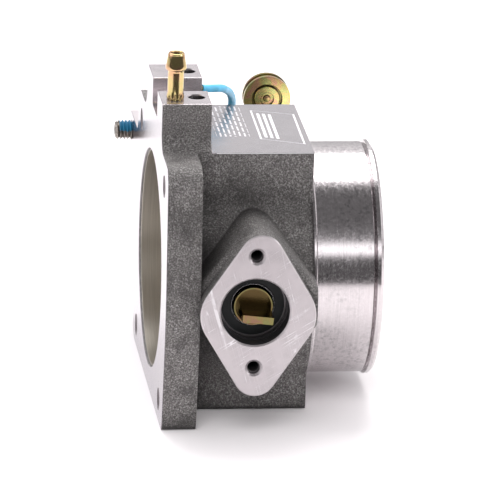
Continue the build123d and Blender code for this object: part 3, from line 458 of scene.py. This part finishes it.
def tube(path, radius, sides, closed=False):
    """Points and faces of a round tube that follows a path, with flat ends."""
    count = len(path)
    points, side = [], None
    for i, here in enumerate(path):
        if closed:
            ahead, behind = path[(i + 1) % count], path[i - 1]
        else:
            ahead, behind = path[min(i + 1, count - 1)], path[max(i - 1, 0)]
        along = (Vector(ahead) - Vector(behind)).normalized()
        if side is None:
            side = along.orthogonal().normalized()
        side = (side - along * side.dot(along)).normalized()
        up = along.cross(side)
        for j in range(sides):
            turn = 2 * math.pi * j / sides
            points.append(Vector(here) + side * (radius * math.cos(turn)) + up * (radius * math.sin(turn)))
    faces = grid_faces(count, sides, wrap_rows=closed)
    if not closed:
        faces.append(tuple(reversed(range(sides))))
        faces.append(tuple(range((count - 1) * sides, count * sides)))
    return points, faces


def ring(centre, radius, count, coil, waves):
    """Points of a coil of the given radius, wound on a ring about the shaft's direction."""
    points = []
    for i in range(count):
        a = 2 * math.pi * i / count
        wave = 2 * math.pi * waves * i / count
        r = radius + coil * math.cos(wave)
        y = centre[1] + coil * math.sin(wave)
        points.append((centre[0] + r * math.cos(a), y, centre[2] + r * math.sin(a)))
    return points


# ---- settings ----------------------------------------------------------------------------------------
def colour_setting(name, description, default):
    return FloatVectorProperty(
        name=name, description=description, subtype="COLOR", size=3, min=0.0, max=1.0, default=default
    )


def length_setting(name, description, default, low=0.0, high=200.0):
    return FloatProperty(name=name, description=description, default=default, min=low, max=high)


class BodyFinishSettings(PropertyGroup):
    cast_dark: colour_setting("Cast shade", "Darkest grain of the cast skin", (0.078, 0.074, 0.072))
    cast_mid: colour_setting("Cast colour", "Middle grain of the cast skin", (0.170, 0.161, 0.157))
    cast_light: colour_setting("Cast grit", "Brightest grain of the cast skin", (0.47, 0.455, 0.45))
    milled_colour: colour_setting("Milled colour", "Milled faces", (0.56, 0.52, 0.535))
    face_colour: colour_setting("Engine face colour", "Fly-cut engine face", (0.30, 0.275, 0.31))
    pad_colour: colour_setting("Pad colour", "Milled pad on top", (0.46, 0.44, 0.455))
    turned_colour: colour_setting("Turned colour", "Turned bore and neck", (0.64, 0.60, 0.61))
    hose_colour: colour_setting("Hose colour", "Vacuum hose", (0.10, 0.47, 0.72))
    patch_colour: colour_setting("Patch colour", "Locking patch on the stop screw", (0.012, 0.14, 0.26))


def count_setting(name, description, default, low, high):
    return IntProperty(name=name, description=description, default=default, min=low, max=high)


class DetailSettings(PropertyGroup):
    stop_pitch: length_setting("Stop pitch", "Stop screw's thread pitch in millimetres", 1.411, 0.5, 3.0)
    thread_share: length_setting("Thread depth", "Thread depth as a share of its pitch", 0.58, 0.2, 0.9)
    socket_across: length_setting("Socket size", "Hex socket across flats in millimetres", 3.97, 1.0, 8.0)
    spring_wire: length_setting("Spring wire", "Return spring's wire radius in millimetres", 0.9, 0.2, 2.0)
    spring_pitch: length_setting("Spring pitch", "Return spring's pitch in millimetres", 2.05, 1.0, 10.0)
    spring_bend: length_setting("Spring bend", "Bend radius into each leg in millimetres", 1.8, 0.5, 5.0)
    spring_leg: length_setting("Spring leg", "Straight part of fixed leg in millimetres", 4.8, 1.0, 20.0)
    spring_turns: count_setting("Spring turns", "Turns of the return spring", 6, 2, 20)
    tapped_pitch: length_setting("Tapped pitch", "Tapped holes' thread pitch in millimetres", 1.25, 0.5, 3.0)
    tapped_ridge: length_setting("Tapped ridge", "Tapped holes' thread height in millimetres", 0.4, 0.1, 1.0)
    garter_turns: count_setting("Garter turns", "Turns of a garter spring", 96, 20, 300)
    barb_ribs: count_setting("Barb ribs", "Ribs round the barb's pressed collar", 9, 4, 40)


class StageSettings(PropertyGroup):
    floor_colour: colour_setting("Floor colour", "The pale floor", (0.95, 0.925, 0.935))
    floor_front: length_setting(
        "Floor front", "From the bore axis to the floor's front edge in millimetres", 345.0, 100.0, 9000.0
    )
    world_level: length_setting("Surround level", "Brightness of the white surround", 0.70, 0.0, 5.0)
    key_power: length_setting("Key light", "Power of the overhead light in watts", 10.0, 0.0, 500.0)
    fill_power: length_setting("Fill light", "Power of the shadow-lifting light in watts", 10.0, 0.0, 500.0)
    focal: length_setting("Focal length", "Camera focal length in millimetres", 404.1, 20.0, 1000.0)


# ---- operators ---------------------------------------------------------------------------------------
def dress(node, material):
    """Gives a CAD node its finish."""
    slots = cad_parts[node].data.materials
    slots.clear()
    slots.append(material)


class ThrottleOperator(Operator):
    """Shared settings of every operator here."""

    bl_options = {"REGISTER", "UNDO"}


class OBJECT_OT_finish_body(ThrottleOperator):
    """Finish the cast housing"""

    bl_idname = "throttle.finish_body"
    bl_label = "Cast Housing"

    def execute(self, context):
        dress("throttle_housing", cast_body_finish(context.scene.throttle_finish))
        return {"FINISHED"}


class OBJECT_OT_finish_metal(ThrottleOperator):
    """Finish the shaft, plate, bearings, lever, roller and the other metal nodes"""

    bl_idname = "throttle.finish_metal"
    bl_label = "Metal Parts"

    def execute(self, context):
        ground = steel_finish("shaft_steel", (0.62, 0.62, 0.63), (0.16, 0.30), 1.0, (1.0, 9.0, 1.0))
        plate = steel_finish("plate_brass", (0.74, 0.60, 0.33), (0.22, 0.36), 1.0, (0.4, 6.0, 0.4), 0.25)
        plated = steel_finish("screw_steel", (0.58, 0.58, 0.59), (0.25, 0.42))
        bearing = steel_finish("bearing_steel", (0.60, 0.60, 0.62), (0.15, 0.28), 1.0, (1.0, 5.0, 1.0))
        bright_wire = steel_finish("garter_steel", (0.80, 0.80, 0.82), (0.14, 0.26), 6.0)
        lever = steel_finish("lever_zinc", (0.60, 0.58, 0.50), (0.28, 0.46), 1.0, (5.0, 1.0, 0.5), 0.3)
        dark_wire = steel_finish("spring_steel", (0.30, 0.30, 0.31), (0.28, 0.42), 5.0, (1.0, 3.0, 1.0))
        yellow = zinc_finish("yellow_zinc", (0.47, 0.36, 0.14), (0.50, 0.27, 0.19), (0.37, 0.40, 0.15))
        barb = zinc_finish(
            "barb_plating", (0.64, 0.47, 0.23), (0.62, 0.37, 0.22), (0.56, 0.47, 0.20), (0.07, 0.14)
        )
        brass = steel_finish("nipple_brass", (0.45, 0.38, 0.22), (0.25, 0.40))
        for node, material in (
            ("throttle_shaft", ground), ("throttle_plate", plate), ("plate_screws", plated),
            ("near_bearing_shell", bearing), ("near_bearing_needles", bearing),
            ("far_bearing_shell", bearing), ("far_bearing_needles", bearing),
            ("near_seal_garter", bright_wire), ("far_seal_garter", bright_wire),
            ("throttle_lever", lever), ("return_spring", dark_wire), ("cable_roller", yellow),
            ("roller_rivet", yellow), ("sensor_drive", yellow), ("lever_nut", yellow),
            ("lever_washer", plated), ("vacuum_barb", barb), ("boss_nipple", brass), ("body_nipple", brass),
        ):
            dress(node, material)
        return {"FINISHED"}


class OBJECT_OT_finish_moulded(ThrottleOperator):
    """Finish the seals, the hose and the spring bush"""

    bl_idname = "throttle.finish_moulded"
    bl_label = "Rubber and Plastic"

    def execute(self, context):
        props = context.scene.throttle_finish
        seal = moulded_finish("seal_rubber", (0.006, 0.0075, 0.008), (0.34, 0.5), Specular_IOR_Level=0.25)
        hose = moulded_finish("blue_hose", tuple(props.hose_colour), (0.30, 0.42), 1.2, Coat_Weight=0.15)
        bush = moulded_finish("bush_plastic", (0.03, 0.03, 0.032), (0.40, 0.55))
        for node, material in (
            ("near_seal", seal), ("far_seal", seal), ("vacuum_hose", hose), ("spring_bush", bush),
        ):
            dress(node, material)
        return {"FINISHED"}


class OBJECT_OT_stop_screw(ThrottleOperator):
    """Build the stop screw with its helical thread, hex socket and locking patch"""

    bl_idname = "throttle.stop_screw"
    bl_label = "Stop Screw"

    def execute(self, context):
        detail = context.scene.throttle_detail
        low, high = (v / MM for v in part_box("stop_screw"))
        centre_y, centre_z = (low.y + high.y) / 2, (low.z + high.z) / 2
        radius = (high.y - low.y) / 2
        depth = detail.thread_share * detail.stop_pitch
        length = high.x - low.x
        chamfer = depth + 0.15
        sides, steps = 48, int(length / detail.stop_pitch * 10)
        points = []
        for i in range(steps + 1):
            run = length * i / steps
            ends = min(run, length - run)
            for j in range(sides):
                turn = 2 * math.pi * j / sides
                phase = (run / detail.stop_pitch - j / sides) % 1.0
                crest = min(1.0, max(0.0, abs(2 * phase - 1) * 1.30 - 0.10))
                r = min(radius - depth * (1 - crest), radius - chamfer + ends)
                points.append((low.x + run, centre_y + r * math.cos(turn), centre_z + r * math.sin(turn)))
        faces = grid_faces(steps + 1, sides)
        faces.append(tuple((steps * sides + j) for j in range(sides)))
        # Socket: a hexagon in the outer end, with a cone at its foot.
        socket_depth = 4.0
        rim = len(points)
        for run in (0.0, socket_depth):
            for j in range(sides):
                turn = 2 * math.pi * j / sides
                wedge = (turn + math.pi / 6) % (math.pi / 3) - math.pi / 6
                r = detail.socket_across / 2 / math.cos(wedge)
                points.append((low.x + run, centre_y + r * math.cos(turn), centre_z + r * math.sin(turn)))
        foot = len(points)
        points.append((low.x + socket_depth + 1.0, centre_y, centre_z))
        for j in range(sides):
            k = (j + 1) % sides
            faces.append((j, rim + j, rim + k, k))
            faces.append((rim + j, rim + sides + j, rim + sides + k, rim + k))
            faces.append((rim + sides + j, foot, rim + sides + k))
        f = Finish("stop_steel")
        angle = f.math("ARCTAN2", f.math("SUBTRACT", f.z, centre_z), f.math("SUBTRACT", f.y, centre_y))
        wobble = f.noise(0.8, 2.0, 0.5)
        sway = f.math("MULTIPLY", f.math("SUBTRACT", wobble, 0.5), 0.5)
        lift = f.math("ADD", f.math("SINE", angle), sway)
        patch_from, patch_to = low.x + 1.4, low.x + 9.0
        along_patch = f.both(f.rise(f.x, patch_from, patch_from + 0.5), f.fall(f.x, patch_to - 0.5, patch_to))
        patch = f.both(f.rise(lift, 0.10, 0.20), along_patch)
        grime = f.noise(1.4, 4.0, 0.6)
        steel = f.mix(f.rise(grime, 0.40, 0.66), (0.36, 0.33, 0.30), (0.11, 0.10, 0.085))
        colour = f.mix(patch, steel, tuple(context.scene.throttle_finish.patch_colour))
        rough = f.level(patch, f.level(grime, 0.22, 0.45), 0.55)
        f.shade(colour, rough, f.level(patch, 1.0, 0.0), f.bump(grime, 0.04, 0.5))
        screw = new_piece(
            "stop_screw_threaded", points, faces, "stop_steel", "housing", smooth=False
        )
        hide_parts("stop_screw")
        return {"FINISHED"}


class OBJECT_OT_return_spring(ThrottleOperator):
    """Build the return spring as one fixed coil; the real spring winds up as the throttle opens"""

    bl_idname = "throttle.return_spring"
    bl_label = "Return Spring"

    def execute(self, context):
        detail = context.scene.throttle_detail
        low, high = (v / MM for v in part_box("return_spring"))
        wire = detail.spring_wire
        radius = (high.z - low.z) / 2 - wire
        edge_x = SHAFT_X + radius
        rise = math.atan2(detail.spring_pitch, 2 * math.pi * radius)
        across = detail.spring_bend * (1 - math.sin(rise))
        along = detail.spring_bend * math.cos(rise)
        # A leg into the boss, a bend, whole turns, a bend and a leg through the lever.
        bend_from = low.y + detail.spring_leg
        coil_from = bend_from + along
        coil_to = coil_from + detail.spring_pitch * detail.spring_turns
        bend_to = coil_to + along
        bend = [(math.pi / 2 - rise) * k / 6 for k in range(7)]
        path = [(edge_x, low.y, across), (edge_x, (low.y + bend_from) / 2, across)]
        for a in bend:
            drop = detail.spring_bend * (1 - math.cos(a))
            path.append((edge_x, bend_from + detail.spring_bend * math.sin(a), across - drop))
        count = 40 * detail.spring_turns
        for i in range(1, count):
            turn = 2 * math.pi * detail.spring_turns * i / count
            y = coil_from + (coil_to - coil_from) * i / count
            path.append((SHAFT_X + radius * math.cos(turn), y, -radius * math.sin(turn)))
        for a in reversed(bend):
            drop = detail.spring_bend * (1 - math.cos(a))
            path.append((edge_x, bend_to - detail.spring_bend * math.sin(a), drop - across))
        path += [(edge_x, (bend_to + high.y) / 2, -across), (edge_x, high.y, -across)]
        points, faces = tube(path, wire, 12)
        spring = new_piece("return_spring_coil", points, faces, "spring_steel", None)
        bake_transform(spring)
        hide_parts("return_spring")
        return {"FINISHED"}


class OBJECT_OT_tapped_threads(ThrottleOperator):
    """Build the helical threads in the tapped bracket and sensor holes"""

    bl_idname = "throttle.tapped_threads"
    bl_label = "Tapped Threads"

    def execute(self, context):
        detail = context.scene.throttle_detail
        low, high = (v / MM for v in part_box("throttle_housing"))
        top, near = high.z, low.y
        up, out = Vector((0, 0, 1)), Vector((0, -1, 0))
        holes = (
            ("bracket_thread_near", (TAPPED_X, TAPPED_MID_Y - TAPPED_HALF, top), up, TAPPED_R, TAPPED_THREAD),
            ("bracket_thread_far", (TAPPED_X, TAPPED_MID_Y + TAPPED_HALF, top), up, TAPPED_R, TAPPED_THREAD),
            ("sensor_thread_top", (SHAFT_X, near, SENSOR_HOLE_Z), out, SENSOR_HOLE_R, SENSOR_THREAD),
            ("sensor_thread_bottom", (SHAFT_X, near, -SENSOR_HOLE_Z), out, SENSOR_HOLE_R, SENSOR_THREAD),
        )
        for name, mouth, axis, radius, depth in holes:
            points, faces = self.thread(Vector(mouth), axis, radius, depth, detail)
            new_piece(name, points, faces, "cast_body", "housing", smooth=False)
        return {"FINISHED"}

    def thread(self, mouth, axis, radius, depth, detail):
        """One ridge wound down the hole's wall, thinning out at both ends."""
        side = axis.orthogonal().normalized()
        other = axis.cross(side)
        pitch, high = detail.tapped_pitch, detail.tapped_ridge
        per_turn = 28
        first_drop, half_base, sunk = 1.0, 0.42, -0.06
        count = int((depth - 1.2) / pitch * per_turn)
        points = []
        for i in range(count + 1):
            turn = 2 * math.pi * i / per_turn
            drop = first_drop + pitch * i / per_turn
            grown = min(1.0, i / per_turn, (count - i) / per_turn)
            spoke = side * math.cos(turn) + other * math.sin(turn)
            for across, lift in ((-half_base, sunk), (0.0, high * grown), (half_base, sunk)):
                points.append(mouth - axis * (drop + across * pitch) + spoke * (radius - lift))
        faces = []
        for i in range(count):
            for j in range(3):
                a, b = 3 * i + j, 3 * i + (j + 1) % 3
                faces.append((a, b, b + 3, a + 3))
        faces.append((2, 1, 0))
        faces.append((3 * count, 3 * count + 1, 3 * count + 2))
        return points, faces


class OBJECT_OT_garters(ThrottleOperator):
    """Build the coiled garter springs of the two shaft seals"""

    bl_idname = "throttle.garters"
    bl_label = "Garter Springs"

    def execute(self, context):
        turns = context.scene.throttle_detail.garter_turns
        for node in ("near_seal_garter", "far_seal_garter"):
            low, high = (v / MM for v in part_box(node))
            ring_wire = (high.y - low.y) / 2
            wire = ring_wire * 0.30
            radius = (high.x - low.x) / 2 - ring_wire
            centre = middle(node)
            path = ring(centre, radius, turns * 8, ring_wire - wire, turns)
            points, faces = tube(path, wire, 6, closed=True)
            garter = new_piece(node + "_coil", points, faces, "garter_steel", "housing")
            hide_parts(node)
        return {"FINISHED"}


class OBJECT_OT_vacuum_barb(ThrottleOperator):
    """Build the vacuum barb with its ribbed collar"""

    bl_idname = "throttle.vacuum_barb"
    bl_label = "Vacuum Barb"

    def execute(self, context):
        low, high = (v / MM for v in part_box("vacuum_barb"))
        x, y = (low.x + high.x) / 2, (low.y + high.y) / 2
        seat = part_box("throttle_housing")[1].z / MM
        sides = 96
        ribs = context.scene.throttle_detail.barb_ribs
        foot, stem_r, tube_r = -5.9, 3.12, 2.2
        # Outline from the foot up, over the tip and down the bore: height above the seat, radius, rib share.
        outline = [
            (foot, 3.15, 0), (0.0, 3.15, 0),
            (0.02, 3.25, 0.6), (0.5, 3.42, 1.0), (1.3, 3.40, 1.0), (2.1, 3.25, 0.6), (2.9, 3.15, 0.15),
            (3.6, stem_r, 0), (7.0, stem_r, 0), (11.0, stem_r, 0), (11.7, stem_r, 0),
            (11.9, 3.30, 0), (12.05, 3.80, 0), (12.3, 4.05, 0), (12.8, 4.1, 0), (13.4, 4.08, 0),
            (14.0, 3.97, 0), (16.0, 3.62, 0), (18.0, 3.28, 0), (18.55, 3.12, 0),
            (18.8, 2.85, 0), (18.78, 2.5, 0), (18.5, 2.25, 0), (17.8, tube_r, 0),
            (8.0, tube_r, 0), (foot, tube_r, 0),
        ]
        dent_depth = 0.62
        points = []
        for h, r, share in outline:
            for j in range(sides):
                turn = 2 * math.pi * j / sides
                dent = dent_depth * share * (0.5 - 0.5 * math.cos(ribs * turn)) ** 2
                points.append((x + (r - dent) * math.cos(turn), y + (r - dent) * math.sin(turn), seat + h))
        faces = grid_faces(len(outline), sides, wrap_rows=True)
        barb = new_piece("vacuum_barb_ribbed", points, faces, "barb_plating", "housing")
        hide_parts("vacuum_barb")
        return {"FINISHED"}


class OBJECT_OT_stage(ThrottleOperator):
    """Add the floor, the soft studio light and the camera"""

    bl_idname = "throttle.stage"
    bl_label = "Stage"

    def execute(self, context):
        props = context.scene.throttle_stage
        scene = context.scene
        ground = CAD_BOX[0].z
        size, front = 6.0, -props.floor_front * MM
        mesh = bpy.data.meshes.new("floor")
        corners = [(x, y, ground) for x, y in ((-size, front), (size, front), (size, size), (-size, size))]
        mesh.from_pydata(corners, [], [(0, 1, 2, 3)])
        floor = bpy.data.objects.new("floor", mesh)
        scene.collection.objects.link(floor)
        f = Finish("floor_paper")
        cloud = f.noise(0.004, 2.0, 0.5)
        f.shade(f.mix(cloud, tuple(props.floor_colour), tuple(c * 0.985 for c in props.floor_colour)), 0.75)
        mesh.materials.append(f.material)
        self.surround(scene, props)
        self.lights(scene, props)
        self.camera(scene, props)
        scene.view_settings.view_transform = "Standard"
        return {"FINISHED"}

    def surround(self, scene, props):
        """A surround, bright behind and dim in front and below, with a bright strip low in front."""
        world = bpy.data.worlds.new("surround")
        scene.world = world
        world.use_nodes = True
        tree = world.node_tree
        tree.nodes.clear()
        coords = tree.nodes.new("ShaderNodeTexCoord")
        split = tree.nodes.new("ShaderNodeSeparateXYZ")
        tree.links.new(coords.outputs["Generated"], split.inputs[0])
        front = tree.nodes.new("ShaderNodeMath")
        front.operation = "MULTIPLY"
        front.inputs[1].default_value = -1.0
        tree.links.new(split.outputs["Y"], front.inputs[0])
        angle = tree.nodes.new("ShaderNodeMath")
        angle.operation = "ARCTAN2"
        tree.links.new(split.outputs["Z"], angle.inputs[0])
        tree.links.new(front.outputs[0], angle.inputs[1])
        turn = tree.nodes.new("ShaderNodeMapRange")
        turn.inputs["From Min"].default_value = -math.pi
        turn.inputs["From Max"].default_value = math.pi
        tree.links.new(angle.outputs[0], turn.inputs[0])
        ramp = tree.nodes.new("ShaderNodeValToRGB")
        # Degrees above the front horizon, through overhead at 90, and level.
        stops = [
            (-40, 0.14), (0, 0.16), (17, 0.22), (22, 3.4), (27, 3.4), (34, 0.50), (50, 0.26), (90, 0.24),
            (102, 2.3), (140, 1.7), (180, 0.85),
        ]
        elements = ramp.color_ramp.elements
        while len(elements) < len(stops):
            elements.new(0.5)
        for element, (degrees, level) in zip(elements, stops):
            element.position = (degrees + 180) / 360
            element.color = (level, level * 0.985, level, 1.0)
        tree.links.new(turn.outputs[0], ramp.inputs[0])
        background = tree.nodes.new("ShaderNodeBackground")
        background.inputs["Strength"].default_value = props.world_level
        tree.links.new(ramp.outputs[0], background.inputs["Color"])
        output = tree.nodes.new("ShaderNodeOutputWorld")
        tree.links.new(background.outputs[0], output.inputs["Surface"])

    def lights(self, scene, props):
        """Soft boxes: overhead and a little behind, on the left, on the right, and a fill high in front."""
        boxes = [
            ("overhead", (0.05, 0.55, 1.00), 0.8, props.key_power, (1.0, 0.99, 0.98)),
            ("left", (-1.10, -0.10, 0.60), 0.8, props.key_power * 0.28, (1.0, 0.98, 1.0)),
            ("right", (1.10, -0.45, 0.55), 0.5, props.key_power * 0.3, (1.0, 1.0, 1.0)),
            ("fill", (-0.15, -0.95, 1.05), 0.9, props.fill_power, (1.0, 0.985, 0.99)),
        ]
        aim = Vector((0.04, 0, 0))
        for name, place, size, power, colour in boxes:
            lamp = bpy.data.lights.new(name, "AREA")
            lamp.size = size
            lamp.energy = power
            lamp.color = colour
            light = bpy.data.objects.new(name, lamp)
            light.location = place
            light.rotation_mode = "QUATERNION"
            light.rotation_quaternion = (aim - Vector(place)).to_track_quat("-Z", "Y")
            # The fill only lifts shadows; it isn't mirrored in the metal.
            light.visible_glossy = name != "fill"
            scene.collection.objects.link(light)

    def camera(self, scene, props):
        """A long lens from the sensor side, a little above and turned towards the engine face."""
        yaw, pitch, roll, distance = 0.1278, 0.3225, 0.0338, 2.221
        target = Vector((0.03977, 0.0, 0.00271))
        ahead = Vector((math.sin(yaw) * math.cos(pitch), math.cos(yaw) * math.cos(pitch), -math.sin(pitch)))
        right = ahead.cross(Vector((0, 0, 1))).normalized()
        up = right.cross(ahead)
        right, up = (
            math.cos(roll) * right + math.sin(roll) * up,
            -math.sin(roll) * right + math.cos(roll) * up,
        )
        lens = bpy.data.cameras.new("camera")
        lens.lens = props.focal
        lens.sensor_width = 36.0
        lens.clip_start, lens.clip_end = 0.05, 50.0
        camera = bpy.data.objects.new("camera", lens)
        pose = Matrix((right, up, -ahead)).transposed().to_4x4()
        pose.translation = target - ahead * distance
        camera.matrix_world = pose
        scene.collection.objects.link(camera)
        scene.camera = camera


# ---- panel and registration --------------------------------------------------------------------------
STEPS = (
    OBJECT_OT_finish_body, OBJECT_OT_finish_metal, OBJECT_OT_finish_moulded, OBJECT_OT_stop_screw,
    OBJECT_OT_return_spring, OBJECT_OT_tapped_threads, OBJECT_OT_garters, OBJECT_OT_vacuum_barb,
    OBJECT_OT_stage,
)


class VIEW3D_PT_throttle_body(Panel):
    """The throttle body's steps and settings"""

    bl_label = "Throttle Body"
    bl_idname = "VIEW3D_PT_throttle_body"
    bl_space_type = "VIEW_3D"
    bl_region_type = "UI"
    bl_category = "Throttle Body"

    def draw(self, context):
        for step in STEPS:
            self.layout.operator(step.bl_idname)
        for name in SETTINGS:
            group = getattr(context.scene, name)
            box = self.layout.box()
            for key in group.__annotations__:
                box.prop(group, key)


SETTINGS = {
    "throttle_finish": BodyFinishSettings,
    "throttle_detail": DetailSettings,
    "throttle_stage": StageSettings,
}
CLASSES = (*SETTINGS.values(), *STEPS, VIEW3D_PT_throttle_body)


def register():
    for cls in CLASSES:
        bpy.utils.register_class(cls)
    for name, group in SETTINGS.items():
        setattr(bpy.types.Scene, name, PointerProperty(type=group))


def unregister():
    for name in SETTINGS:
        delattr(bpy.types.Scene, name)
    for cls in reversed(CLASSES):
        bpy.utils.unregister_class(cls)


def main():
    register()
    for step in STEPS:
        area, name = step.bl_idname.split(".")
        getattr(getattr(bpy.ops, area), name)()


if __name__ == "__main__":
    main()
